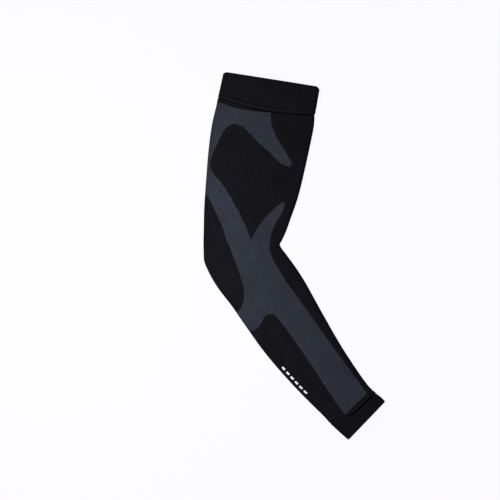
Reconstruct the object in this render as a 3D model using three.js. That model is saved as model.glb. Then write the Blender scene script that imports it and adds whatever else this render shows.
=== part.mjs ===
// Arm compression sleeve lying flat with a bent elbow: a seamless knitted tube that tapers from the
// upper arm to the wrist, with a turned double band at each end. Both layers of the flattened tube
// rest on the ground at z = 0 and stay a little apart, as springy knit does, so an arm can go in.
// Millimetres, +Z up. The upper arm points to +Y and the wrist to +X and -Y.

import * as THREE from 'three';

// Lengths along the middle of the sleeve
const UPPER_LENGTH = 190; // top edge to the elbow
const FOREARM_LENGTH = 227; // elbow to the wrist edge
const UPPER_BAND_DEPTH = 29.5;
const WRIST_BAND_DEPTH = 20.9;

// Flat widths of the knitted tube
const TOP_WIDTH = 104;
const ELBOW_WIDTH = 84;
const FOREARM_WIDTH = 80;
const WRIST_WIDTH = 54;

// How it lies, seen from above, in degrees
const UPPER_LEAN = 9.8; // the upper arm leans this far off the Y axis
const BEND = 56; // from the top edge to the wrist edge

// How it lies, seen from the side
const FOLD_THICKNESS = 6; // over the folded edges
const CROWN_RISE = 3.5; // further up in the middle of the widest section
const LANDING = 22; // the tube comes down to the ground this far past a band's seam

// Knit and seams
const KNIT_WALL = 1;
const BAND_PLY = 0.8; // the outer ply of a turned band
const SEAM_GAP = 0.3; // between a band and the tube end that it laps
const SEAM_LAP = 6; // how far a band laps over the tube
const RIDGE_RISE = 0.4; // the linked seam stands up, along the upper band's edge or beside the wrist band
const RIDGE_WIDTH = 3;
const RIM_CLEARANCE = 2.1; // from the wrist band's edge to the ridge beside it
const TOP_CORNER_ROUND = 2.5; // the top edge drops this much over the inner fold
const TOP_CORNER_REACH = 7.5; // and the courses below it drop less, down to none this far in

// The upper seam bows towards the wrist in the middle. The wrist seam runs level from the inner fold
// to past the middle, nearer to the hand, and then turns up the sleeve towards the outer fold.
const UPPER_SEAM_BOW = 5;
const WRIST_SEAM_DROP = 6.2; // where it runs level
const WRIST_SEAM_RISE = 4; // at the outer fold
const WRIST_SEAM_TURN = 0.15; // past the middle, as a share of the half width
const BOW_REACH = 1; // how far a seam's course is felt past it, in band depths

// The knit gathers in shallow creases at the inside of the elbow
const CREASE_DEPTH = 0.9;
const CREASE_WIDTH = 5;
const CREASE_REACH = 0.75; // from the inner fold, as a share of the half width
const CREASE_EASE = 0.4; // a crease is this much shallower at the fold than it would be

// Fineness of the faceted surface
const STEPS_PER_STRETCH = 10; // top, fold, underside, fold
const LONG_STEP = 14;
const SHORT_STEP = 5;
const FINE_ZONE = 22; // short steps this near the elbow and the seams
const RIM_STEPS = 4;

const LENGTH = UPPER_LENGTH + FOREARM_LENGTH;
const UPPER_SEAM = UPPER_BAND_DEPTH;
const WRIST_SEAM = LENGTH - WRIST_BAND_DEPTH;
const FOLD_RADIUS = FOLD_THICKNESS / 2;
const BAND_FACE = SEAM_GAP + BAND_PLY; // how far a band's face stands out from the tube's
const BAND_THICKNESS = BAND_FACE + KNIT_WALL;

// One row for each section. at: place along the middle. turn: share of the bend made by there.
// outer, inner: from the middle to the fold at the back of the elbow and to the fold at its inside.
const upper = (share) => share * UPPER_LENGTH;
const forearm = (share) => UPPER_LENGTH + share * FOREARM_LENGTH;
const [top, elbow, lower, wrist] = [TOP_WIDTH, ELBOW_WIDTH, FOREARM_WIDTH, WRIST_WIDTH].map((w) => w / 2);
const SECTIONS = [
  { at: upper(0), turn: 0.015, outer: 0.98 * top, inner: 1.025 * top },
  { at: upper(0.14), turn: 0, outer: 1.005 * top, inner: 1.025 * top },
  { at: upper(0.22), turn: 0, outer: 1.035 * top, inner: 1.057 * top },
  { at: upper(0.32), turn: 0, outer: 1.055 * top, inner: 1.05 * top },
  { at: upper(0.48), turn: 0, outer: 1.03 * top, inner: 1.025 * top },
  { at: upper(0.64), turn: 0, outer: 0.975 * top, inner: 0.985 * top },
  { at: upper(0.76), turn: 0.04, outer: 0.935 * top, inner: 0.915 * top },
  { at: upper(0.88), turn: 0.15, outer: 1.12 * elbow, inner: 1.02 * elbow },
  { at: upper(0.96), turn: 0.29, outer: 1.145 * elbow, inner: 0.905 * elbow },
  { at: upper(1), turn: 0.4, outer: 1.18 * elbow, inner: 0.835 * elbow },
  { at: forearm(0.03), turn: 0.48, outer: 1.15 * elbow, inner: 0.845 * elbow },
  { at: forearm(0.09), turn: 0.61, outer: 1.08 * elbow, inner: 0.905 * elbow },
  { at: forearm(0.18), turn: 0.72, outer: 1.03 * lower, inner: 1.01 * lower },
  { at: forearm(0.28), turn: 0.77, outer: 1.0 * lower, inner: 1.015 * lower },
  { at: forearm(0.45), turn: 0.81, outer: 0.98 * lower, inner: 0.925 * lower },
  { at: forearm(0.65), turn: 0.85, outer: 1.32 * wrist, inner: 1.18 * wrist },
  { at: forearm(0.82), turn: 0.89, outer: 1.17 * wrist, inner: 1.05 * wrist },
  { at: forearm(0.88), turn: 0.922, outer: 1.13 * wrist, inner: 1.01 * wrist },
  { at: forearm(0.93), turn: 0.953, outer: 1.09 * wrist, inner: 1.03 * wrist },
  { at: forearm(1), turn: 1, outer: 1.04 * wrist, inner: 1.03 * wrist },
];

// One row for each crease at the inside of the elbow, as it leaves the inner fold.
const CREASES = [
  { at: upper(0.955), depth: 0.7 * CREASE_DEPTH },
  { at: forearm(0.015), depth: CREASE_DEPTH },
  { at: forearm(0.075), depth: 0.6 * CREASE_DEPTH },
];

// The value of a column at a place: a cubic through the rows, with slopes from their neighbours.
function between(column, at) {
  const last = SECTIONS.length - 1;
  let row = 0;
  while (row < last - 1 && at > SECTIONS[row + 1].at) row += 1;
  const slope = (i) => {
    const a = SECTIONS[Math.max(i - 1, 0)];
    const b = SECTIONS[Math.min(i + 1, last)];
    return (b[column] - a[column]) / (b.at - a.at);
  };
  const from = SECTIONS[row];
  const to = SECTIONS[row + 1];
  const span = to.at - from.at;
  const t = (at - from.at) / span;
  const rise = t * t * (3 - 2 * t);
  const leave = t * (1 - t) * (1 - t) * span * slope(row);
  const arrive = t * t * (1 - t) * span * slope(row + 1);
  return from[column] + (to[column] - from[column]) * rise + leave - arrive;
}

// 1 at a distance of 0, falling smoothly to 0 at the reach.
function fade(distance, reach) {
  const share = Math.min(Math.abs(distance) / reach, 1);
  return Math.cos((share * Math.PI) / 2) ** 2;
}

// The middle line, walked down the sleeve in many small strides along its lean.
const lean = (at) => THREE.MathUtils.degToRad(UPPER_LEAN - BEND * between('turn', at));
const WALK = 208; // strides
const middleLine = [new THREE.Vector2(0, 0)];
for (let i = 0; i < WALK; i += 1) {
  const angle = lean(((i + 0.5) / WALK) * LENGTH);
  const step = new THREE.Vector2(-Math.sin(angle), -Math.cos(angle)).multiplyScalar(LENGTH / WALK);
  middleLine.push(middleLine[i].clone().add(step));
}
function middle(at) {
  const place = THREE.MathUtils.clamp((at / LENGTH) * WALK, 0, WALK - 1e-6);
  const i = Math.floor(place);
  return middleLine[i].clone().lerp(middleLine[i + 1], place - i);
}

// How far a point of a course lies down the sleeve from where its section cuts the middle line.
// across is -1 at the outer fold, 0 in the middle and 1 at the inner fold.
function courseShift(at, across) {
  const upperCourse = UPPER_SEAM_BOW * (1 - across ** 2);
  const levelled = THREE.MathUtils.smoothstep(across, -1, -WRIST_SEAM_TURN);
  const wristCourse = (WRIST_SEAM_DROP + WRIST_SEAM_RISE) * levelled - WRIST_SEAM_RISE;
  return (
    upperCourse * fade(at - UPPER_SEAM, BOW_REACH * UPPER_BAND_DEPTH) +
    wristCourse * fade(at - WRIST_SEAM, BOW_REACH * WRIST_BAND_DEPTH)
  );
}

// The thicker bands hold the tube off the ground. It comes down just past their seams.
function groundClearance(at) {
  const past = Math.max(UPPER_SEAM - at, at - WRIST_SEAM);
  return BAND_FACE * (past > 0 ? 1 : fade(past, LANDING));
}

function creaseDepth(at, across) {
  const reached = THREE.MathUtils.clamp((across - 1 + CREASE_REACH) / CREASE_REACH, 0, 1);
  return CREASES.reduce((sum, crease) => {
    const away = (at - crease.at) / CREASE_WIDTH;
    return sum + crease.depth * Math.exp(-away * away) * reached * (1 - CREASE_EASE * reached);
  }, 0);
}

// A point of the sleeve. around goes 0 to 4: over the top from the outer fold to the inner one,
// round the inner fold, back along the underside, and round the outer fold. offset is how far
// outside the knitted tube's face the point lies.
function sleevePoint(at, around, offset) {
  const stretch = Math.floor(around) % 4;
  const share = around - Math.floor(around);
  const outer = between('outer', at) - FOLD_RADIUS;
  const inner = between('inner', at) - FOLD_RADIUS;
  const clearance = groundClearance(at);
  const axisHeight = clearance + FOLD_RADIUS;
  const radius = FOLD_RADIUS + offset;
  let down = 0;
  let across;
  let x;
  let z;
  if (stretch === 0 || stretch === 2) {
    across = stretch === 0 ? 2 * share - 1 : 1 - 2 * share;
    x = across * (across < 0 ? outer : inner);
    const crown = CROWN_RISE * ((outer + inner) / TOP_WIDTH) * (1 - across ** 2);
    z = stretch === 0 ? axisHeight + radius + crown - creaseDepth(at, across) : axisHeight - radius;
  } else {
    across = stretch === 1 ? 1 : -1;
    const turned = share * Math.PI;
    const rise = radius * Math.cos(turned) * across;
    x = across * ((stretch === 1 ? inner : outer) + radius * Math.sin(turned));
    z = axisHeight + rise - (stretch === 1 ? creaseDepth(at, 1) * (1 - share) : 0);
    if (stretch === 1) down = TOP_CORNER_ROUND * Math.sin(turned) ** 2 * fade(at, TOP_CORNER_REACH);
  }
  down += courseShift(at, across);
  const angle = lean(at);
  const { x: mx, y: my } = middle(at);
  // A ridge on the underside is pressed flat against the ground.
  return new THREE.Vector3(
    mx + x * Math.cos(angle) - down * Math.sin(angle),
    my - x * Math.sin(angle) - down * Math.cos(angle),
    Math.max(z, 0),
  );
}

// Sweeps a closed outline of { at, offset } points round the sleeve, so that it becomes a tube wall.
function tubeWall(outline) {
  const steps = 4 * STEPS_PER_STRETCH;
  const positions = [];
  const index = [];
  outline.forEach(({ at, offset }, row) => {
    const nextRow = (row + 1) % outline.length;
    for (let i = 0; i < steps; i += 1) {
      positions.push(...sleevePoint(at, i / STEPS_PER_STRETCH, offset));
      const next = (i + 1) % steps;
      const [a, b] = [row * steps + i, row * steps + next];
      const [c, d] = [nextRow * steps + i, nextRow * steps + next];
      index.push(a, c, b, b, c, d);
    }
  });
  const geometry = new THREE.BufferGeometry();
  geometry.setAttribute('position', new THREE.Float32BufferAttribute(positions, 3));
  geometry.setIndex(index);
  geometry.computeVertexNormals();
  return geometry;
}

// Places from one end to the other, close together near the elbow and the seams.
function places(from, to) {
  const list = [from];
  for (;;) {
    const at = list[list.length - 1];
    const near = Math.min(...[UPPER_SEAM, UPPER_LENGTH, WRIST_SEAM].map((spot) => Math.abs(at - spot)));
    const next = at + (near < FINE_ZONE ? SHORT_STEP : LONG_STEP);
    if (next > to - SHORT_STEP / 2) break;
    list.push(next);
  }
  return [...list, to];
}

// The knitted tube, from inside one band's lap to inside the other's, with the ridge by the wrist.
function knitTubeOutline() {
  const ridgeTop = WRIST_SEAM - RIM_CLEARANCE - RIDGE_WIDTH / 2;
  const body = places(UPPER_SEAM - SEAM_LAP + SEAM_GAP, ridgeTop - RIDGE_WIDTH / 2);
  const end = WRIST_SEAM + SEAM_LAP - SEAM_GAP;
  const outside = [
    ...body.map((at) => ({ at, offset: 0 })),
    { at: ridgeTop, offset: RIDGE_RISE },
    { at: ridgeTop + RIDGE_WIDTH / 2, offset: 0 },
    { at: end, offset: 0 },
  ];
  const inside = [...body, WRIST_SEAM, end].reverse().map((at) => ({ at, offset: -KNIT_WALL }));
  return [...outside, ...inside];
}

// A turned band of two plies. depth is its own, and in is how far in from the sleeve's edge. Its rim
// is a round fold, and its outer ply laps over the tube, with a ridge of ridgeRise along its edge.
function bandOutline(depth, ridgeRise) {
  const rimRadius = BAND_THICKNESS / 2;
  const rim = Array.from({ length: RIM_STEPS + 1 }, (_, i) => {
    const angle = (i / RIM_STEPS) * Math.PI;
    return {
      in: rimRadius * (1 - Math.sin(angle)),
      offset: -KNIT_WALL + rimRadius * (1 - Math.cos(angle)),
    };
  });
  const flatSteps = Math.max(1, Math.round((depth - RIDGE_WIDTH) / SHORT_STEP));
  const stretch = depth - RIDGE_WIDTH - rimRadius;
  const face = Array.from({ length: flatSteps }, (_, i) => ({
    in: rimRadius + ((i + 1) / flatSteps) * stretch,
    offset: BAND_FACE,
  }));
  const ridge = [
    { in: depth - RIDGE_WIDTH / 2, offset: BAND_FACE + ridgeRise },
    { in: depth - RIDGE_WIDTH / 6, offset: BAND_FACE + ridgeRise / 2 },
    { in: depth, offset: SEAM_GAP + BAND_PLY / 2 },
    { in: depth, offset: SEAM_GAP },
  ];
  const lapEnd = depth - SEAM_LAP;
  const lap = [
    { in: lapEnd, offset: SEAM_GAP },
    { in: lapEnd, offset: -KNIT_WALL },
  ];
  const liningSteps = Math.max(1, Math.round(lapEnd / SHORT_STEP));
  const lining = Array.from({ length: liningSteps - 1 }, (_, i) => ({
    in: lapEnd - ((i + 1) / liningSteps) * (lapEnd - rimRadius),
    offset: -KNIT_WALL,
  }));
  return [...rim, ...face, ...ridge, ...lap, ...lining];
}

const upperBandOutline = bandOutline(UPPER_BAND_DEPTH, RIDGE_RISE).map((p) => ({
  at: p.in,
  offset: p.offset,
}));
const wristBandOutline = bandOutline(WRIST_BAND_DEPTH, 0)
  .map((p) => ({ at: LENGTH - p.in, offset: p.offset }))
  .reverse();

function knitted(name, outline, colour) {
  const material = new THREE.MeshStandardMaterial({ color: colour, roughness: 0.92, metalness: 0 });
  const mesh = new THREE.Mesh(tubeWall(outline), material);
  mesh.name = name;
  return mesh;
}

const sleeve = new THREE.Group();
sleeve.add(knitted('upper_band', upperBandOutline, 0x15141a));
sleeve.add(knitted('knit_tube', knitTubeOutline(), 0x1b1b22));
sleeve.add(knitted('wrist_band', wristBandOutline, 0x15141a));

// The origin is on the ground, under the middle of the sleeve's own box.
const centre = new THREE.Box3().setFromObject(sleeve).getCenter(new THREE.Vector3());
sleeve.position.set(-centre.x, -centre.y, 0);

export default sleeve;
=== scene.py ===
"""Arm compression sleeve, knitted in the round and laid flat with its elbow bent.

The sections follow the sleeve as it is made: the knitted tube, the turned band at each end with its
linked seam, and then the floor, the light and the camera. Sizes are in millimetres, and a mesh is
made in metres. Two values place a point on the sleeve: at, its way down the middle from the top
edge, and share, its way round from the fold behind the elbow, over the top layer, and back along
the underside.
"""

import bpy
import numpy as np
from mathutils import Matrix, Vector


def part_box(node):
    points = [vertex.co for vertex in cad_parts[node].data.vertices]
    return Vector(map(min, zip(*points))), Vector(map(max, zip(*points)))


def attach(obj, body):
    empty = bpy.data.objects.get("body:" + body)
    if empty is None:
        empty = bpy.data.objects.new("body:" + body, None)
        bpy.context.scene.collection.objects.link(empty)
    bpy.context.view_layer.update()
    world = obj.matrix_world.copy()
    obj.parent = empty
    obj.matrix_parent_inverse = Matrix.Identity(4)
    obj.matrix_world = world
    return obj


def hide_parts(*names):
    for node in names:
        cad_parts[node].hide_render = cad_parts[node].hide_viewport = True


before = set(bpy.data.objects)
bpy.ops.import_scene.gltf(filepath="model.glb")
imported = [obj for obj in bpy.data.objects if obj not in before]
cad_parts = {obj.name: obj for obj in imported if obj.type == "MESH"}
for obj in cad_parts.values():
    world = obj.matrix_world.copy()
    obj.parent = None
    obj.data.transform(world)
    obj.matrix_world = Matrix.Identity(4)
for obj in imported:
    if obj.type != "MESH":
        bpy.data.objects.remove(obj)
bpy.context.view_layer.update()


# Knitted tube
# A seamless tube of fine rib knit in nylon and elastane, about 1 mm thick, narrowed on the machine
# from the upper arm to the wrist and shaped over the elbow. Its grey support panels are knitted in
# with a melange yarn, and each end is linked to a turned band.

MM = 0.001
UPPER_LENGTH = 190.0
FOREARM_LENGTH = 227.0
LENGTH = UPPER_LENGTH + FOREARM_LENGTH
UPPER_BAND_DEPTH = 29.5
WRIST_BAND_DEPTH = 20.9
UPPER_SEAM = UPPER_BAND_DEPTH
WRIST_SEAM = LENGTH - WRIST_BAND_DEPTH

TOP_WIDTH = 104.0
ELBOW_WIDTH = 84.0
FOREARM_WIDTH = 80.0
WRIST_WIDTH = 54.0
UPPER_LEAN = 9.8
BEND = 56.0

FOLD_RADIUS = 3.0
CROWN_RISE = 3.5
KNIT_WALL = 1.0
BAND_PLY = 0.8
SEAM_GAP = 0.3
SEAM_LAP = 6.0
BAND_FACE = SEAM_GAP + BAND_PLY
LANDING = 22.0
INNER_CORNER_ROUND = 2.5
OUTER_CORNER_ROUND = 1.5
CORNER_REACH = 7.5

UPPER_SEAM_BOW = 5.0
WRIST_SEAM_DROP = 6.2
WRIST_SEAM_RISE = 4.0
WRIST_SEAM_TURN = 0.15
RIDGE_RISE = 0.45
RIDGE_WIDTH = 2.8
FLATTENED = 0.8
UPPER_GROOVE_WIDTH = 1.5
UPPER_GROOVE_DEPTH = 0.3
WRIST_GROOVE_WIDTH = 1.5
WRIST_GROOVE_DEPTH = 0.8
WRIST_GROOVE_STEEPNESS = 1.6
WRIST_GROOVE_BACK = 0.9
WRIST_GROOVE_END = 0.12
WRIST_RIDGE_BACK = 3.0
WRIST_LINE_BACK = 4.8
WRIST_LINE_DEPTH = 0.15
FINE_LINE_WIDTH = 0.8
SEAM_SWELL = 0.85
SWELL_REACH = 10.0
SWELL_OFF_LIP = 0.8

RIBS = 98
POINTS_PER_RIB = 4
PANEL_RIB_RISE = 0.16
PLAIN_RIB_RISE = 0.07
FOLD_REACH = 8.0
ROW_STEP = 2.15
LINING_STEP = 9.0
WALK_STRIDES = 208


def upper(share_of_upper):
    """A place down the upper arm, from 0 at the top edge to 1 at the elbow."""
    return share_of_upper * UPPER_LENGTH


def forearm(share_of_forearm):
    """A place down the forearm, from 0 at the elbow to 1 at the wrist's edge."""
    return UPPER_LENGTH + share_of_forearm * FOREARM_LENGTH


# A row for each section of the tube. turn is the share of the bend made by there, and outer and
# inner are its half widths towards the fold behind the elbow and the fold inside it.
half_top, half_elbow, half_forearm, half_wrist = (
    width / 2 for width in (TOP_WIDTH, ELBOW_WIDTH, FOREARM_WIDTH, WRIST_WIDTH)
)
SECTIONS = np.array([
    (upper(0.00), 0.015, 0.980 * half_top, 1.025 * half_top),
    (upper(0.14), 0.000, 1.005 * half_top, 1.025 * half_top),
    (upper(0.22), 0.000, 1.035 * half_top, 1.057 * half_top),
    (upper(0.32), 0.000, 1.055 * half_top, 1.050 * half_top),
    (upper(0.48), 0.000, 1.030 * half_top, 1.025 * half_top),
    (upper(0.64), 0.000, 0.975 * half_top, 0.985 * half_top),
    (upper(0.76), 0.040, 0.935 * half_top, 0.915 * half_top),
    (upper(0.88), 0.150, 1.120 * half_elbow, 1.020 * half_elbow),
    (upper(0.96), 0.290, 1.145 * half_elbow, 0.905 * half_elbow),
    (upper(1.00), 0.400, 1.180 * half_elbow, 0.835 * half_elbow),
    (forearm(0.03), 0.480, 1.150 * half_elbow, 0.845 * half_elbow),
    (forearm(0.09), 0.610, 1.080 * half_elbow, 0.905 * half_elbow),
    (forearm(0.18), 0.720, 1.030 * half_forearm, 1.010 * half_forearm),
    (forearm(0.28), 0.770, 1.000 * half_forearm, 1.015 * half_forearm),
    (forearm(0.45), 0.810, 0.980 * half_forearm, 0.925 * half_forearm),
    (forearm(0.65), 0.850, 1.320 * half_wrist, 1.180 * half_wrist),
    (forearm(0.82), 0.890, 1.170 * half_wrist, 1.050 * half_wrist),
    (forearm(0.88), 0.922, 1.130 * half_wrist, 1.010 * half_wrist),
    (forearm(0.93), 0.953, 1.090 * half_wrist, 1.030 * half_wrist),
    (forearm(1.00), 1.000, 1.040 * half_wrist, 1.030 * half_wrist),
], [("at", float), ("turn", float), ("outer", float), ("inner", float)])

# A row for each shallow crease where the knit gathers at the inside of the elbow.
CREASES = np.array([
    (upper(0.955), 0.63),
    (forearm(0.015), 0.90),
    (forearm(0.075), 0.54),
], [("at", float), ("depth", float)])
CREASE_WIDTH = 5.0
CREASE_REACH = 0.75
CREASE_EASE = 0.4

# A row for each slow wave that leaves the top layer gently uneven: its height, its lengths down the
# sleeve and across it, and where it starts.
WAVES = np.array([
    (0.22, 13.0, 11.0, 0.0),
    (0.16, 7.3, -15.0, 1.3),
], [("height", float), ("down", float), ("over", float), ("start", float)])


def section_value(column, at):
    """A column of the section table at any place: a cubic between two rows, whose slope at each
    row is the rise from the row before it to the row after it, over the way between those."""
    places, values = SECTIONS["at"], SECTIONS[column]
    before = np.maximum(np.arange(len(places)) - 1, 0)
    after = np.minimum(np.arange(len(places)) + 1, len(places) - 1)
    slopes = (values[after] - values[before]) / (places[after] - places[before])
    row = np.clip(np.searchsorted(places, at) - 1, 0, len(places) - 2)
    span = places[row + 1] - places[row]
    t = (at - places[row]) / span
    rise = t * t * (3 - 2 * t)
    leave = t * (1 - t) ** 2 * span * slopes[row]
    arrive = t * t * (1 - t) * span * slopes[row + 1]
    return values[row] + (values[row + 1] - values[row]) * rise + leave - arrive


def fade(distance, reach):
    """1 at no distance, falling to 0 at the reach: a squared cosine."""
    return np.cos(np.minimum(np.abs(distance) / reach, 1) * np.pi / 2) ** 2


def lean(at):
    """The sleeve's lean off the Y axis: the upper arm's, less the share of the bend made."""
    return np.radians(UPPER_LEAN - BEND * section_value("turn", at))


walk = np.linspace(0, LENGTH, WALK_STRIDES + 1)
halfway = (walk[1:] + walk[:-1]) / 2
strides = np.stack([-np.sin(lean(halfway)), -np.cos(lean(halfway))], axis=1) * (walk[1] - walk[0])
middle_line = np.vstack([[0, 0], np.cumsum(strides, axis=0)])


def by_fold(across):
    """1 at a fold and nearly 0 over the flat: the eighth power of across."""
    return across ** 8


def course_shift(at, across):
    """How far down the sleeve a knitted course lies from its section. Near the upper seam it bows
    down in the middle, as 1 less across squared. Near the wrist seam it lies level, lower, from the
    inner fold to past the middle, and rises from there to the outer fold as a cubic S."""
    upper_course = UPPER_SEAM_BOW * (1 - across ** 2)
    t = np.clip((across + 1) / (1 - WRIST_SEAM_TURN), 0, 1)
    wrist_course = (WRIST_SEAM_DROP + WRIST_SEAM_RISE) * t * t * (3 - 2 * t) - WRIST_SEAM_RISE
    near_upper = fade(at - UPPER_SEAM, UPPER_BAND_DEPTH)
    near_wrist = fade(at - WRIST_SEAM, WRIST_BAND_DEPTH)
    return upper_course * near_upper + wrist_course * near_wrist


def sleeve_point(at, share, proud):
    """A point of the flattened tube, proud of the knit's face. Its section is two flat stretches
    joined by two half-round folds, walked by length from the middle of the outer fold. The top
    stretch is crowned as 1 less across squared, and gently uneven. Also gives the way round from
    the outer fold's middle, the same over the top and underneath, and across, from -1 to 1."""
    at, share, proud = np.broadcast_arrays(at, share, proud)
    flat_outer = section_value("outer", at) - FOLD_RADIUS
    flat_inner = section_value("inner", at) - FOLD_RADIUS
    quarter = FOLD_RADIUS * np.pi / 2
    half_way_round = 2 * quarter + flat_outer + flat_inner
    side = np.where(share < 0.5, 1.0, -1.0)
    around = np.minimum(share, 1 - share) * 2 * half_way_round

    radius = FOLD_RADIUS + proud
    turned_outer = np.clip(around / FOLD_RADIUS, 0, np.pi / 2)
    turned_inner = np.clip((half_way_round - around) / FOLD_RADIUS, 0, np.pi / 2)
    on_outer, on_inner = turned_outer < np.pi / 2, turned_inner < np.pi / 2
    flat = np.clip(around - quarter, 0, flat_outer + flat_inner) - flat_outer
    x = flat - on_outer * radius * np.cos(turned_outer) + on_inner * radius * np.cos(turned_inner)
    height = radius * np.where(on_outer, np.sin(turned_outer), np.sin(turned_inner))
    across = np.where(flat < 0, flat / flat_outer, flat / flat_inner)

    uneven = sum(
        wave["height"] * np.sin(at / wave["down"] + flat / wave["over"] + wave["start"])
        for wave in WAVES
    )
    bowed = 1 - across ** 2
    crown = (CROWN_RISE * (flat_outer + flat_inner) / TOP_WIDTH + uneven) * bowed
    reached = np.clip((across - 1 + CREASE_REACH) / CREASE_REACH, 0, 1)
    fallen = reached * (1 - CREASE_EASE * reached)
    fallen = fallen * np.where(on_inner, (side * turned_inner + np.pi / 2) / np.pi, side > 0)
    away = (at[..., None] - CREASES["at"]) / CREASE_WIDTH
    creased = fallen * (CREASES["depth"] * np.exp(-away ** 2)).sum(axis=-1)
    past = np.maximum(UPPER_SEAM - at, at - WRIST_SEAM)
    clearance = BAND_FACE * np.where(past > 0, 1, fade(past, LANDING))
    z = np.maximum(clearance + FOLD_RADIUS + side * height + (side > 0) * crown - creased, 0)

    rounded = INNER_CORNER_ROUND * on_inner * np.cos(turned_inner) ** 2
    rounded = rounded + OUTER_CORNER_ROUND * on_outer * np.cos(turned_outer) ** 2
    down = course_shift(at, across) + rounded * fade(at, CORNER_REACH)
    middle_x = np.interp(at, walk, middle_line[:, 0])
    middle_y = np.interp(at, walk, middle_line[:, 1])
    sine, cosine = np.sin(lean(at)), np.cos(lean(at))
    place = (middle_x + x * cosine - down * sine, middle_y - x * sine - down * cosine, z)
    return np.stack(place, axis=-1), around, across


def way_round(at, across):
    """The length round from the outer fold's middle to a point given by its share of the half
    width, as seen from above: straight over the flat, and stretched by half of pi on the fold."""
    outer, inner = section_value("outer", at), section_value("inner", at)
    x = across * np.where(across < 0, outer, inner)
    flat_outer = outer - FOLD_RADIUS
    on_fold = x < -flat_outer
    return FOLD_RADIUS * np.pi / 2 + np.where(on_fold, (x + flat_outer) * np.pi / 2, x + flat_outer)


# The outline of the grey panel on one layer, as smooth edges that meet at corners. A row gives at
# and across, from -1 at the outer fold to 1 at the inner one. Past the outer fold, across is under
# -1, and the panel goes on over the other layer as its mirror image.
PANEL_EDGES = {
    "under the upper band": [
        (UPPER_SEAM + 5.5, -1.30), (UPPER_SEAM + 5.5, -0.70), (UPPER_SEAM + 4.9, -0.40),
        (UPPER_SEAM + 2.8, -0.10), (UPPER_SEAM + 1.2, 0.11),
    ],
    "down the upper arm": [
        (UPPER_SEAM + 1.2, 0.11), (upper(0.215), 0.14), (upper(0.275), 0.205), (upper(0.32), 0.30),
        (upper(0.365), 0.43), (upper(0.407), 0.57), (upper(0.43), 0.645), (upper(0.448), 0.695),
        (upper(0.473), 0.71),
    ],
    "across the tip": [
        (upper(0.473), 0.71), (upper(0.476), 0.65), (upper(0.474), 0.577), (upper(0.467), 0.505),
    ],
    "round the arm pad": [
        (upper(0.467), 0.505), (upper(0.447), 0.38), (upper(0.412), 0.20), (upper(0.377), 0.005),
        (upper(0.342), -0.165), (upper(0.304), -0.345), (upper(0.291), -0.48),
        (upper(0.291), -0.585), (upper(0.31), -0.68), (upper(0.341), -0.755),
        (upper(0.405), -0.83), (upper(0.465), -0.895), (upper(0.522), -0.937),
        (upper(0.56), -0.93), (upper(0.595), -0.845), (upper(0.635), -0.665),
        (upper(0.692), -0.475), (upper(0.757), -0.28), (upper(0.847), -0.05), (upper(0.94), 0.115),
    ],
    "up the elbow branch": [
        (upper(0.94), 0.115), (upper(0.878), 0.235), (upper(0.815), 0.37), (upper(0.752), 0.52),
        (upper(0.698), 0.66), (upper(0.687), 0.72), (upper(0.685), 0.77),
    ],
    "down the inner forearm": [
        (upper(0.685), 0.77), (upper(0.74), 0.765), (upper(0.788), 0.725), (upper(0.828), 0.685),
        (upper(0.878), 0.642), (upper(0.917), 0.635), (upper(0.959), 0.655),
        (forearm(0.005), 0.66), (forearm(0.05), 0.62), (forearm(0.093), 0.597),
        (forearm(0.206), 0.577), (forearm(0.32), 0.612), (forearm(0.43), 0.67),
        (forearm(0.517), 0.695), (forearm(0.59), 0.727), (forearm(0.68), 0.765),
        (forearm(0.772), 0.785), (forearm(0.84), 0.785), (forearm(0.862), 0.77),
        (WRIST_SEAM - 6.1, 0.745),
    ],
    "over the wrist": [
        (WRIST_SEAM - 6.1, 0.745), (WRIST_SEAM - 5.9, 0.45), (WRIST_SEAM - 5.9, 0.15),
        (WRIST_SEAM - 5.6, -0.14), (WRIST_SEAM - 4.9, -0.275), (WRIST_SEAM - 3.5, -0.41),
    ],
    "up the forearm pad": [
        (WRIST_SEAM - 3.5, -0.41), (forearm(0.858), -0.383), (forearm(0.829), -0.342),
        (forearm(0.765), -0.282), (forearm(0.698), -0.228), (forearm(0.605), -0.165),
        (forearm(0.537), -0.145), (forearm(0.424), -0.125), (forearm(0.36), -0.145),
        (forearm(0.327), -0.18), (forearm(0.31), -0.275),
        (forearm(0.308), -0.435), (forearm(0.328), -0.66), (forearm(0.333), -0.83),
        (forearm(0.325), -0.98), (forearm(0.31), -1.30),
    ],
    "round the elbow cap": [
        (forearm(0.21), -1.30), (forearm(0.218), -0.96), (forearm(0.216), -0.85),
        (forearm(0.186), -0.617), (forearm(0.144), -0.473), (forearm(0.078), -0.365),
        (upper(0.993), -0.36), (upper(0.942), -0.44), (upper(0.854), -0.593),
        (upper(0.797), -0.727), (upper(0.741), -0.867), (upper(0.715), -0.98),
        (upper(0.70), -1.30),
    ],
}
STEPS_PER_EDGE_ROW = 4


def smooth_edge(rows):
    """Points along a smooth curve through the rows: between two rows a cubic whose slope at a row
    is half the way from the row before it to the row after it."""
    rows = np.array(rows)
    padded = np.vstack([2 * rows[0] - rows[1], rows, 2 * rows[-1] - rows[-2]])
    t = np.linspace(0, 1, STEPS_PER_EDGE_ROW, endpoint=False)[None, :, None]
    before, start, end, after = (padded[i:len(rows) - 1 + i, None, :] for i in range(4))
    curve = start + t * (end - before) / 2
    curve = curve + t ** 2 * (2 * before - 5 * start + 4 * end - after) / 2
    curve = curve + t ** 3 * (3 * start - before - 3 * end + after) / 2
    return curve.reshape(-1, rows.shape[1])


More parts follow.
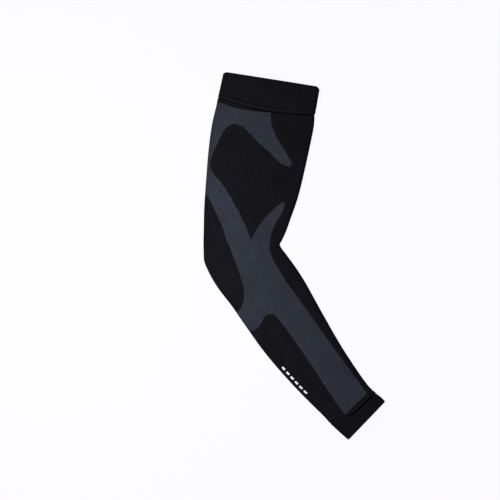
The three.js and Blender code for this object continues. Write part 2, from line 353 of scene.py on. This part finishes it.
def depth_inside(points, outline):
    """How far each point lies inside a closed outline, below 0 outside: the least distance to its
    sides, and inside where a line to the right crosses an odd number of them."""
    least = np.full(len(points), np.inf)
    inside = np.zeros(len(points), bool)
    for start, end in zip(outline, np.roll(outline, -1, axis=0)):
        way = end - start
        along = np.clip((points - start) @ way / (way @ way), 0, 1)
        least = np.minimum(least, np.hypot(*(points - start - along[:, None] * way).T))
        crosses = (start[1] > points[:, 1]) != (end[1] > points[:, 1])
        reach = start[0] + (points[:, 1] - start[1]) / (way[1] or 1) * way[0]
        inside ^= crosses & (points[:, 0] < reach)
    return np.where(inside, least, -least)


panel_outline = np.vstack([smooth_edge(rows) for rows in PANEL_EDGES.values()])
panel_outline[:, 1] = way_round(panel_outline[:, 0], panel_outline[:, 1])


def sleeve_wall(name, points, share, course, **marks):
    """A closed wall from a grid of points. Each row goes round the sleeve, and the last row joins
    the first. share and course become the Knit UV map, and each mark a value at every point."""
    rows, columns = points.shape[:2]
    row, column = np.indices((rows, columns))
    next_row, next_column = (row + 1) % rows, (column + 1) % columns
    corners = np.stack([
        row * columns + column,
        next_row * columns + column,
        next_row * columns + next_column,
        row * columns + next_column,
    ], axis=-1)
    mesh = bpy.data.meshes.new(name)
    mesh.from_pydata(points.reshape(-1, 3) * MM, [], corners.reshape(-1, 4))
    mesh.polygons.foreach_set("use_smooth", np.ones(rows * columns, bool))
    share_step = 1 / columns
    share_corners = share[column] + np.array([0, 0, share_step, share_step])[:, None, None]
    course_corners = np.stack([course[row], course[next_row], course[next_row], course[row]])
    uv = np.stack([share_corners, course_corners], axis=-1)
    layer = mesh.uv_layers.new(name="Knit")
    layer.uv.foreach_set("vector", np.moveaxis(uv, 0, 2).astype(np.float32).ravel())
    for mark, values in marks.items():
        attribute = mesh.attributes.new(mark, "FLOAT", "POINT")
        values = np.broadcast_to(values, (rows, columns))
        attribute.data.foreach_set("value", values.astype(np.float32).ravel())
    mesh.validate()
    piece = bpy.data.objects.new(name, mesh)
    bpy.context.scene.collection.objects.link(piece)
    return piece


def near_fold(share, around):
    """1 at the middle of a fold, falling to 0 at FOLD_REACH from it, as a squared cosine."""
    half_way_round = around / np.maximum(2 * np.minimum(share, 1 - share), 1e-6)
    from_inner = np.where(around > 0, half_way_round - around, FOLD_REACH)
    return fade(np.minimum(around, from_inner), FOLD_REACH)


def seam_swell(at, across):
    """How far the tube swells out beside the seams at the folds: a squared cosine of the way from
    the seam, long on the tube's side and steep beside the lip. At the upper seam only the outer
    fold swells."""
    def beside(off_lip):
        steep = SWELL_OFF_LIP - SEAM_GAP
        return fade(np.maximum(off_lip, 0), SWELL_REACH) * fade(np.minimum(off_lip, 0), steep)

    beside_upper = beside(at - UPPER_SEAM - SWELL_OFF_LIP)
    beside_wrist = beside(WRIST_SEAM - SWELL_OFF_LIP - at)
    return SEAM_SWELL * (beside_upper * (across < 0) + beside_wrist) * by_fold(across)


share = np.arange(RIBS * POINTS_PER_RIB) / (RIBS * POINTS_PER_RIB)
ribbing = np.cos(2 * np.pi * RIBS * share)

# The rows of the face lie closer together beside the two seams than over the body.
tube_start = UPPER_SEAM - SEAM_LAP + SEAM_GAP
tube_end = WRIST_SEAM + SEAM_LAP - SEAM_GAP
wrist_ridge_at = WRIST_SEAM - WRIST_RIDGE_BACK
body_rows = int((wrist_ridge_at - UPPER_SEAM - 8) / ROW_STEP)
face_at = np.concatenate([
    np.linspace(tube_start, UPPER_SEAM - 1, 3),
    np.linspace(UPPER_SEAM - 0.5, UPPER_SEAM + 4, 9),
    np.linspace(UPPER_SEAM + 5, wrist_ridge_at - 3, body_rows),
    np.linspace(wrist_ridge_at - 2.4, WRIST_SEAM + 0.6, 16),
    np.linspace(WRIST_SEAM + 2, tube_end, 3),
])
lining_at = np.linspace(tube_end, tube_start, int((tube_end - tube_start) / LINING_STEP))
tube_at = np.concatenate([face_at, lining_at])[:, None]
on_face = (np.arange(len(tube_at)) < len(face_at))[:, None]

_, around, across = sleeve_point(tube_at, share, 0.0)
panel_depth = depth_inside(
    np.stack([np.broadcast_to(tube_at, around.shape).ravel(), around.ravel()], axis=1),
    panel_outline,
).reshape(around.shape)

in_panel = np.clip(panel_depth + 0.5, 0, 1)
rib_rise = PLAIN_RIB_RISE + (PANEL_RIB_RISE - PLAIN_RIB_RISE) * in_panel
flatness = 1 - FLATTENED * by_fold(across)
towards_inner = np.clip((across + 0.75) / 0.6, 0, 1)
upper_groove = fade(tube_at - UPPER_SEAM - UPPER_GROOVE_WIDTH / 2, UPPER_GROOVE_WIDTH)
wrist_groove = fade(tube_at - WRIST_SEAM + WRIST_GROOVE_BACK, WRIST_GROOVE_WIDTH)
wrist_groove = np.minimum(WRIST_GROOVE_STEEPNESS * wrist_groove, 1) * towards_inner
wrist_groove = wrist_groove * np.clip((1 - across) / WRIST_GROOVE_END, 0, 1)
wrist_line = fade(tube_at - WRIST_SEAM + WRIST_LINE_BACK, FINE_LINE_WIDTH) * towards_inner
wrist_ridge = fade(tube_at - wrist_ridge_at, RIDGE_WIDTH / 2) * flatness
wrist_ridge = wrist_ridge * (0.3 + 0.7 * towards_inner)
grooves = UPPER_GROOVE_DEPTH * upper_groove + WRIST_GROOVE_DEPTH * wrist_groove
relief = rib_rise * ribbing / 2 - WRIST_LINE_DEPTH * wrist_line - grooves * flatness
relief = relief + RIDGE_RISE * wrist_ridge + seam_swell(tube_at, across)
proud = np.where(on_face, relief, -KNIT_WALL)
points, _, _ = sleeve_point(tube_at, share, proud)

tube_low, tube_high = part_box("knit_tube")
own_low, own_high = points.min(axis=(0, 1)), points.max(axis=(0, 1))
origin = (np.array(tube_low + tube_high) / MM - own_low - own_high) / 2 * [1, 1, 0]

# The colour is darkened by painted shade in the grooves beside the seams and in the fine line near
# the wrist seam, and, by the fold mark, towards the middle of each fold.
crevice = upper_groove * (0.55 + 0.4 * towards_inner) + wrist_groove + 0.5 * wrist_line
knit_tube = sleeve_wall(
    "knitted_tube", points + origin, share, tube_at[:, 0],
    panel_depth=panel_depth, crevice=crevice * on_face,
    around=np.where(share < 0.5, around, -around), fold=near_fold(share, around),
)


def paint(red, green, blue):
    """A colour given as it looks on a screen, from 0 to 255, in the linear values of a shader."""
    seen = np.array([red, green, blue]) / 255
    return (*np.where(seen > 0.04045, ((seen + 0.055) / 1.055) ** 2.4, seen / 12.92), 1.0)


def shader_node(tree, kind, inputs, **settings):
    """Adds a shader node with its settings, fills the inputs named or numbered in inputs with a
    value or another node's output, and gives its first output."""
    made = tree.nodes.new(kind)
    for setting, value in settings.items():
        setattr(made, setting, value)
    for socket, value in inputs.items():
        if isinstance(value, bpy.types.NodeSocket):
            tree.links.new(value, made.inputs[socket])
        else:
            made.inputs[socket].default_value = value
    return made.outputs[0]


def calc(tree, operation, *values):
    """One step of arithmetic between values or sockets."""
    return shader_node(tree, "ShaderNodeMath", dict(enumerate(values)), operation=operation)


def marked(tree, mark):
    """The value that a mark has at the point being shaded."""
    return shader_node(tree, "ShaderNodeAttribute", {}, attribute_name=mark).node.outputs["Fac"]


def tinted(tree, factor, first, second, blend="MIX"):
    """Two colours mixed by a factor, or one blended over the other."""
    made = tree.nodes.new("ShaderNodeMix")
    made.data_type = "RGBA"
    made.blend_type = blend
    made.clamp_factor = True
    for socket, value in ((0, factor), (6, first), (7, second)):
        if isinstance(value, bpy.types.NodeSocket):
            tree.links.new(value, made.inputs[socket])
        else:
            made.inputs[socket].default_value = value
    return made.outputs[2]


BLACK_YARN = paint(5, 5, 8)
BLACK_YARN_SHINE = paint(25, 24, 30)
PANEL_YARN_DARK = paint(21, 23, 29)
PANEL_YARN_LIGHT = paint(57, 61, 72)
DASH_WHITE = paint(226, 226, 230)
# The near black of the painted shade in the grooves and lines beside the seams.
GROOVE_SHADE_BLACK = paint(1, 1, 2)
COURSE_HEIGHT = 0.75
WALES_PER_RIB = 2
BOLD_RIBS_END = UPPER_SEAM + 75

# A row of short, plain white dashes near the wrist, along the fold behind the arm.
DASH_COUNT = 6
DASH_START = forearm(0.543)
DASH_PITCH = 6.8
DASH_LENGTH = 4.4
DASH_WIDTH = 2.1
DASH_LINE = 6.3
DASH_EDGE = 0.15


def knit_material(name, has_panels, loop_depth):
    """Rib knit drawn from its own loops. The height across a wale falls as the square of the way
    from its middle, and along it rises and falls once each course, with the loops' legs slanted
    into a V. Each loop has its own tone and its own place at a panel's edge, by white noise, and
    the cloth's tone varies by fine, broad and stretched noise. Shade is painted into the colour
    between the ribs and the loops, on the folds and in the grooves beside the seams."""
    material = bpy.data.materials.new(name)
    material.use_nodes = True
    tree = material.node_tree
    shader = tree.nodes["Principled BSDF"]

    uv = shader_node(tree, "ShaderNodeUVMap", {}, uv_map="Knit")
    split = shader_node(tree, "ShaderNodeSeparateXYZ", {0: uv}).node.outputs
    ribs = calc(tree, "MULTIPLY", split[0], float(RIBS))
    rib_wave = calc(tree, "COSINE", calc(tree, "MULTIPLY", ribs, 2 * np.pi))
    wales = calc(tree, "MULTIPLY", ribs, float(WALES_PER_RIB))
    off_wale = calc(tree, "MULTIPLY", calc(tree, "PINGPONG", wales, 0.5), 2.0)
    courses = calc(tree, "DIVIDE", split[1], COURSE_HEIGHT)
    slanted = calc(tree, "MULTIPLY_ADD", off_wale, -0.3, courses)
    loop_wave = calc(tree, "COSINE", calc(tree, "MULTIPLY", slanted, 2 * np.pi))
    wale_round = calc(tree, "MULTIPLY_ADD", calc(tree, "POWER", off_wale, 2.0), -0.7, 1.0)
    loops = calc(tree, "MULTIPLY", calc(tree, "MULTIPLY_ADD", loop_wave, 0.25, 0.75), wale_round)

    wale_number = calc(tree, "FLOOR", calc(tree, "ADD", wales, 0.5))
    course_number = calc(tree, "FLOOR", slanted)
    loop_number = shader_node(tree, "ShaderNodeCombineXYZ", {0: wale_number, 1: course_number})
    loop_tone = shader_node(
        tree, "ShaderNodeTexWhiteNoise", {"Vector": loop_number}, noise_dimensions="2D",
    )

    place = shader_node(tree, "ShaderNodeTexCoord", {}).node.outputs["Object"]
    speckle = shader_node(tree, "ShaderNodeTexNoise", {
        "Vector": place, "Scale": 620.0, "Detail": 3.0, "Roughness": 0.65,
    })
    fuzz = shader_node(tree, "ShaderNodeTexNoise", {
        "Vector": place, "Scale": 3200.0, "Detail": 2.0, "Roughness": 0.6,
    })
    broad = shader_node(tree, "ShaderNodeTexNoise", {
        "Vector": place, "Scale": 60.0, "Detail": 4.0, "Roughness": 0.6,
    })
    stretched = shader_node(
        tree, "ShaderNodeVectorMath", {0: uv, 1: (9.0, 0.8, 1.0)}, operation="MULTIPLY",
    )
    streaks = shader_node(tree, "ShaderNodeTexNoise", {
        "Vector": stretched, "Scale": 1.0, "Detail": 2.0, "Roughness": 0.5,
    })
    speckled = shader_node(tree, "ShaderNodeMapRange", {0: speckle, 1: 0.3, 2: 0.7})

    toned = calc(tree, "MULTIPLY_ADD", loop_tone, 0.45, calc(tree, "MULTIPLY", speckled, 0.55))
    # The black is lighter on the rib crests and darker between them: painted shade between the
    # ribs, over the yarn's own tones.
    black_rib_shade = calc(tree, "MULTIPLY_ADD", rib_wave, 0.15, 0.10)
    black_mix = calc(tree, "MULTIPLY_ADD", toned, 0.75, black_rib_shade)
    colour = tinted(tree, black_mix, BLACK_YARN, BLACK_YARN_SHINE)
    if has_panels:
        ragged = calc(tree, "MULTIPLY", calc(tree, "SUBTRACT", loop_tone, 0.5), 0.8)
        stepped = calc(tree, "ADD", ragged, marked(tree, "panel_depth"))
        in_grey = shader_node(tree, "ShaderNodeMapRange", {0: stepped, 1: -0.3, 2: 0.3})
        # The grey is likewise lighter on the rib crests and darker between them, most of all near
        # the upper band, where the whole grey is also darker: painted shade between the ribs.
        rib_shade_strength = shader_node(tree, "ShaderNodeMapRange", {
            0: split[1], 1: UPPER_SEAM, 2: BOLD_RIBS_END, 3: 0.17, 4: 0.10,
        })
        base = calc(tree, "MULTIPLY_ADD", rib_shade_strength, -0.55, 0.36)
        grey_rib_shade = calc(tree, "MULTIPLY_ADD", rib_wave, rib_shade_strength, base)
        grey_mix = calc(tree, "MULTIPLY_ADD", toned, 0.40, grey_rib_shade)
        grey = tinted(tree, grey_mix, PANEL_YARN_DARK, PANEL_YARN_LIGHT)
        colour = tinted(tree, in_grey, colour, grey)
    broad_shade = shader_node(tree, "ShaderNodeMapRange", {
        0: broad, 1: 0.3, 2: 0.7, 3: 0.88, 4: 1.12,
    })
    streak_shade = shader_node(tree, "ShaderNodeMapRange", {
        0: streaks, 1: 0.3, 2: 0.7, 3: 0.9, 4: 1.1,
    })
    # Painted shade between the wales and between the loops of each wale, with the loops' middles
    # lighter.
    loop_shade = calc(tree, "MULTIPLY_ADD", loops, 0.40, 0.75)
    # Painted shade on the folds, where the cloth turns away from the light.
    fold_shade = calc(tree, "MULTIPLY_ADD", marked(tree, "fold"), -0.28, 1.0)
    for shade in (broad_shade, streak_shade, loop_shade, fold_shade):
        colour = tinted(tree, 1.0, colour, shade, "MULTIPLY")
    # Painted shade in the grooves and lines beside the seams, mixed towards near black.
    shadowed = calc(tree, "MULTIPLY", marked(tree, "crevice"), 0.97)
    colour = tinted(tree, shadowed, colour, GROOVE_SHADE_BLACK)
    if has_panels:
        dashes = calc(tree, "DIVIDE", calc(tree, "SUBTRACT", split[1], DASH_START), DASH_PITCH)
        within = calc(tree, "COMPARE", dashes, DASH_COUNT / 2, DASH_COUNT / 2)
        along = calc(tree, "MULTIPLY", calc(tree, "PINGPONG", dashes, 0.5), DASH_PITCH)
        off_middle = calc(tree, "SUBTRACT", DASH_PITCH / 2, along)
        ahead = calc(tree, "SUBTRACT", DASH_LENGTH / 2 - DASH_WIDTH / 2, off_middle)
        behind = calc(tree, "MAXIMUM", calc(tree, "MULTIPLY", ahead, -1.0), 0.0)
        aside = calc(tree, "SUBTRACT", marked(tree, "around"), DASH_LINE)
        apart = shader_node(tree, "ShaderNodeCombineXYZ", {0: behind, 1: aside})
        length = shader_node(tree, "ShaderNodeVectorMath", {0: apart}, operation="LENGTH")
        printed = shader_node(tree, "ShaderNodeMapRange", {
            0: length.node.outputs["Value"],
            1: DASH_WIDTH / 2 + DASH_EDGE, 2: DASH_WIDTH / 2 - DASH_EDGE, 3: 0.0, 4: 1.0,
        })
        colour = tinted(tree, calc(tree, "MULTIPLY", printed, within), colour, DASH_WHITE)
    tree.links.new(colour, shader.inputs["Base Color"])

    rough = shader_node(tree, "ShaderNodeMapRange", {
        0: speckle, 1: 0.3, 2: 0.7, 3: 0.82, 4: 0.96,
    })
    tree.links.new(rough, shader.inputs["Roughness"])
    shader.inputs["Specular IOR Level"].default_value = 0.05
    shader.inputs["Sheen Weight"].default_value = 0.01
    shader.inputs["Sheen Roughness"].default_value = 0.5
    height = calc(tree, "MULTIPLY_ADD", fuzz, 0.25, loops)
    bump = shader_node(tree, "ShaderNodeBump", {
        "Strength": 0.6, "Distance": loop_depth * MM, "Height": height,
    })
    tree.links.new(bump, shader.inputs["Normal"])
    return material


knit_tube.data.materials.append(knit_material("panel_knit", has_panels=True, loop_depth=0.16))
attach(knit_tube, "root")
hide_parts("knit_tube")


# Upper band
# A band of finer black knit, turned over at the top edge so that it is double, to hold the sleeve
# up on the arm. Its outer ply laps over the tube and ends in the raised, linked seam.

NEEDLE_LINE = 4.4
NEEDLE_LINE_DEPTH = 0.18
FACE_STEP = 1.9
LIP_PRESSED = 0.45
PRESSED_REACH = 9.0
LIP_SHADE_REACH = 0.5
LAP_SLOPE = 0.3
LAP_DROP = 0.4


def band_profile(depth):
    """A turned band's outline, as ways in from the edge and heights off the tube's face: half a
    circle round the edge, the flat outer ply with its needle line, the rounded lip, back under the
    lap, and along the lining. The third value is how much of the ridge stands there: a squared
    cosine between the outer ply and the lip."""
    rim = (BAND_FACE + KNIT_WALL) / 2
    turned = np.linspace(0, np.pi, 9)
    lip = np.linspace(0, np.pi / 2, 5)[1:]
    lip_round = BAND_PLY / 2
    face_end = depth - RIDGE_WIDTH - lip_round
    face = np.linspace(rim, face_end, int((face_end - rim) / FACE_STEP))[1:]
    line = depth - NEEDLE_LINE + np.linspace(-FINE_LINE_WIDTH, FINE_LINE_WIDTH, 5)
    off_line = face[np.abs(face - depth + NEEDLE_LINE) > 1.0]
    outer = np.unique(np.concatenate([off_line, line, [face_end]]))
    ridge = np.linspace(face_end, depth - lip_round, 9)[1:]
    lap_end = depth - SEAM_LAP
    lining = np.linspace(lap_end, rim, 6)[:-1]
    inward = [rim * (1 - np.sin(turned)), outer, ridge, depth - lip_round * (1 - np.sin(lip))]
    height = [
        rim * (1 - np.cos(turned)) - KNIT_WALL,
        BAND_FACE - NEEDLE_LINE_DEPTH * fade(outer - depth + NEEDLE_LINE, FINE_LINE_WIDTH),
        np.full(len(ridge), BAND_FACE),
        BAND_FACE - lip_round * (1 - np.cos(lip)),
    ]
    inward += [[depth, lap_end + LAP_SLOPE, lap_end], lining]
    height += [[SEAM_GAP, SEAM_GAP, -LAP_DROP], np.full(len(lining), -KNIT_WALL)]
    inward, height = np.concatenate(inward), np.concatenate(height)
    ridge_share = fade(inward - face_end - RIDGE_WIDTH / 2, RIDGE_WIDTH / 2) * (height > BAND_PLY)
    return inward, height, ridge_share


def turned_band(name, depth, ridge_rise, line_shade_strength, at_wrist):
    """Sweeps a band's profile round the sleeve, with its own fine ribbing on the outer face. Near
    the inner fold its lip is pressed thinner, by the eighth power of across."""
    profile = np.stack(band_profile(depth))[:, ::-1 if at_wrist else 1, None]
    inward, height, ridge_share = profile
    at = LENGTH - inward if at_wrist else inward
    _, around, across = sleeve_point(at, share, 0.0)
    flatness = 1 - FLATTENED * by_fold(across)
    faced = (height > BAND_PLY) & (inward < depth - RIDGE_WIDTH)
    proud = height + ridge_rise * ridge_share * flatness + faced * PLAIN_RIB_RISE * ribbing / 2
    outer_ply = np.clip((height - SEAM_GAP) / BAND_PLY, 0, 1)
    pressed = LIP_PRESSED * by_fold(np.maximum(across, 0))
    proud = proud - pressed * fade(depth - inward, PRESSED_REACH) * outer_ply
    # Painted shade under the band's lip and in its needle line, kept as how much the colour is
    # darkened there.
    lip_shade = fade(depth - inward, LIP_SHADE_REACH) * (height < BAND_FACE)
    towards_outer = np.clip((0.6 - across) / 0.8, 0, 1)
    line_shade = line_shade_strength * fade(inward - depth + NEEDLE_LINE, FINE_LINE_WIDTH)
    line_shade = line_shade * faced * towards_outer
    points, _, _ = sleeve_point(at, share, proud)
    return sleeve_wall(
        name, points + origin, share, at[:, 0],
        crevice=np.maximum(lip_shade, line_shade), fold=near_fold(share, around),
    )


band_knit = knit_material("band_knit", has_panels=False, loop_depth=0.12)
upper_band = turned_band(
    "upper_band_knit", UPPER_BAND_DEPTH, ridge_rise=RIDGE_RISE, line_shade_strength=0.7, at_wrist=False,
)
upper_band.data.materials.append(band_knit)
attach(upper_band, "root")
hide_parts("upper_band")


# Wrist band
# The same turned band, narrower, at the wrist. Its seam lies level from the fold inside the arm to
# past the middle and turns up towards the other fold, and the tube's edge stands up beside it with
# a deep line between them.

wrist_band = turned_band(
    "wrist_band_knit", WRIST_BAND_DEPTH, ridge_rise=0.0, line_shade_strength=0.2, at_wrist=True,
)
wrist_band.data.materials.append(band_knit)
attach(wrist_band, "root")
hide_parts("wrist_band")


# Linking thread
# The chain of small slanted loops that links each band to the tube, in black thread. It lies along
# the top of the upper band's ridge and along the ridge beside the wrist band.

STITCH_PITCH = 1.35
STITCH_LENGTH = 1.8
STITCH_RADIUS = 0.32
STITCH_SLANT = 0.45
STITCH_RINGS = 6
STITCH_SIDES = 6


def linking_stitches(name, at, proud, count):
    """One row of stitches round the sleeve. Each is a small closed spindle, whose radius is the
    root of 1 less the square of the way along it, laid aslant the course and half sunk into the
    ridge."""
    along = np.linspace(-0.96, 0.96, STITCH_RINGS)[None, :, None]
    turn = np.linspace(0, 2 * np.pi, STITCH_SIDES + 1)[:-1][None, None, :]
    middle = (np.arange(count)[:, None, None] + 0.5) / count
    _, _, across = sleeve_point(at, middle, 0.0)
    proud = proud - (RIDGE_RISE * FLATTENED + STITCH_RADIUS / 2) * by_fold(across)
    proud = proud - LIP_PRESSED * by_fold(np.maximum(across, 0)) + seam_swell(at, across)
    centre, _, _ = sleeve_point(at, middle, proud)
    ahead, _, _ = sleeve_point(at, (middle + 1e-3) % 1, proud)
    down, _, _ = sleeve_point(at + 0.2, middle, proud)
    along_course = (ahead - centre) / np.linalg.norm(ahead - centre, axis=-1, keepdims=True)
    down_sleeve = (down - centre) / np.linalg.norm(down - centre, axis=-1, keepdims=True)
    out = np.cross(down_sleeve, along_course)
    stitch_way = along_course + STITCH_SLANT * down_sleeve
    stitch_way = stitch_way / np.linalg.norm(stitch_way, axis=-1, keepdims=True)
    aside = np.cross(out, stitch_way)
    radius = STITCH_RADIUS * np.sqrt(1 - along ** 2)[..., None]
    points = centre + stitch_way * (along * STITCH_LENGTH / 2)[..., None]
    points = points + radius * (aside * np.cos(turn)[..., None] + out * np.sin(turn)[..., None])
    points[..., 2] = np.maximum(points[..., 2], 0)
    points = points + origin

    stitch, ring, side = np.indices((count, STITCH_RINGS - 1, STITCH_SIDES))
    first = (stitch * STITCH_RINGS + ring) * STITCH_SIDES
    corners = np.stack([
        first + side,
        first + (side + 1) % STITCH_SIDES,
        first + STITCH_SIDES + (side + 1) % STITCH_SIDES,
        first + STITCH_SIDES + side,
    ], axis=-1)
    around_end = np.arange(STITCH_SIDES)
    starts = (np.arange(count)[:, None] * STITCH_RINGS) * STITCH_SIDES + around_end[::-1]
    ends = (np.arange(1, count + 1)[:, None] * STITCH_RINGS - 1) * STITCH_SIDES + around_end
    faces = corners.reshape(-1, 4).tolist() + starts.tolist() + ends.tolist()
    mesh = bpy.data.meshes.new(name)
    mesh.from_pydata(points.reshape(-1, 3) * MM, [], faces)
    mesh.polygons.foreach_set("use_smooth", np.ones(len(mesh.polygons), bool))
    piece = bpy.data.objects.new(name, mesh)
    bpy.context.scene.collection.objects.link(piece)
    return piece


def thread_material(name):
    """Twisted black thread: fine slanted bands of light and dark, a little glossier than knit."""
    material = bpy.data.materials.new(name)
    material.use_nodes = True
    tree = material.node_tree
    shader = tree.nodes["Principled BSDF"]
    place = shader_node(tree, "ShaderNodeTexCoord", {}).node.outputs["Object"]
    twist = shader_node(tree, "ShaderNodeTexWave", {
        "Vector": place, "Scale": 900.0, "Distortion": 1.5, "Detail": 2.0,
    }, bands_direction="DIAGONAL")
    colour = tinted(tree, twist, paint(16, 15, 19), paint(29, 28, 33))
    tree.links.new(colour, shader.inputs["Base Color"])
    shader.inputs["Roughness"].default_value = 0.7
    shader.inputs["Specular IOR Level"].default_value = 0.25
    return material


linking_thread = thread_material("linking_thread")
upper_ridge_at = UPPER_SEAM - BAND_PLY / 2 - RIDGE_WIDTH / 2
for name, at, proud, girth in (
    ("upper_linking", upper_ridge_at, BAND_FACE + RIDGE_RISE, 2 * TOP_WIDTH),
    ("wrist_linking", wrist_ridge_at, RIDGE_RISE, 2 * WRIST_WIDTH),
):
    count = int(girth / STITCH_PITCH)
    stitches = linking_stitches(name, at, proud - STITCH_RADIUS / 3, count)
    stitches.data.materials.append(linking_thread)
    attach(stitches, "root")


# Floor
# A plain white table that the sleeve lies on, lit so that it is nearly shadowless.

FLOOR_SIZE = 3.0
FLOOR_WHITE = paint(251, 250, 255)
FLOOR_TINT = (0.03, 0.03, 0.03, 1.0)
FLOOR_DROP = 0.0002
FLOOR_GLOW = 0.98
FLOOR_BOUNCE = 0.25

mesh = bpy.data.meshes.new("floor")
half_floor = FLOOR_SIZE / 2
mesh.from_pydata([
    (-half_floor, -half_floor, -FLOOR_DROP), (half_floor, -half_floor, -FLOOR_DROP),
    (half_floor, half_floor, -FLOOR_DROP), (-half_floor, half_floor, -FLOOR_DROP),
], [], [(0, 1, 2, 3)])
floor = bpy.data.objects.new("floor", mesh)
bpy.context.scene.collection.objects.link(floor)
white = bpy.data.materials.new("floor_white")
white.use_nodes = True
white_shader = white.node_tree.nodes["Principled BSDF"]
white_shader.inputs["Base Color"].default_value = FLOOR_TINT
white_shader.inputs["Roughness"].default_value = 1.0
white_shader.inputs["Specular IOR Level"].default_value = 0.0
white_shader.inputs["Emission Color"].default_value = FLOOR_WHITE
seen = shader_node(white.node_tree, "ShaderNodeLightPath", {})
glow = calc(white.node_tree, "MULTIPLY_ADD", seen, FLOOR_GLOW - FLOOR_BOUNCE, FLOOR_BOUNCE)
white.node_tree.links.new(glow, white_shader.inputs["Emission Strength"])
floor.data.materials.append(white)


# Light
# A soft panel at the sleeve's left, a weaker one far to the right, and a white surround that is
# brightest overhead.

SKY_STRENGTH = 0.2
LOW_SKY_STRENGTH = 0.05


def soft_panel(name, place, size, power):
    """A square light panel that faces the sleeve."""
    light = bpy.data.lights.new(name, "AREA")
    light.shape = "SQUARE"
    light.size = size
    light.energy = power
    panel = bpy.data.objects.new(name, light)
    panel.location = place
    panel.rotation_euler = (-Vector(place)).to_track_quat("-Z", "Y").to_euler()
    bpy.context.scene.collection.objects.link(panel)


soft_panel("key_panel", place=(-0.36, 0.03, 0.42), size=0.3, power=3.6)
soft_panel("fill_panel", place=(0.1, -0.6, 0.5), size=0.5, power=1.7)

world = bpy.data.worlds.new("surround")
world.use_nodes = True
bpy.context.scene.world = world
surround = world.node_tree.nodes["Background"]
surround.inputs["Color"].default_value = FLOOR_WHITE
sky = shader_node(world.node_tree, "ShaderNodeTexCoord", {}).node.outputs["Generated"]
sky_height = shader_node(world.node_tree, "ShaderNodeSeparateXYZ", {0: sky}).node.outputs[2]
overhead = shader_node(world.node_tree, "ShaderNodeMapRange", {
    0: sky_height, 1: 0.0, 2: 0.8, 3: LOW_SKY_STRENGTH, 4: SKY_STRENGTH,
})
seen = shader_node(world.node_tree, "ShaderNodeLightPath", {})
strength = shader_node(world.node_tree, "ShaderNodeMix", {0: seen, 2: overhead, 3: 1.0})
world.node_tree.links.new(strength, surround.inputs["Strength"])


# Camera
# High and straight above the table with a long lens, so that the sleeve shows with hardly any
# perspective, and to the left of it, so that the sleeve is to the right of the middle.

CAMERA_X = -0.0482
CAMERA_Y = 0.0062
CAMERA_HEIGHT = 6.0
FOCAL_LENGTH = 395.8
SENSOR_WIDTH = 36.0

camera = bpy.data.objects.new("camera", bpy.data.cameras.new("camera"))
camera.data.lens = FOCAL_LENGTH
camera.data.sensor_width = SENSOR_WIDTH
camera.location = (CAMERA_X, CAMERA_Y, CAMERA_HEIGHT)
bpy.context.scene.collection.objects.link(camera)
bpy.context.scene.camera = camera
bpy.context.scene.view_settings.view_transform = "Standard"
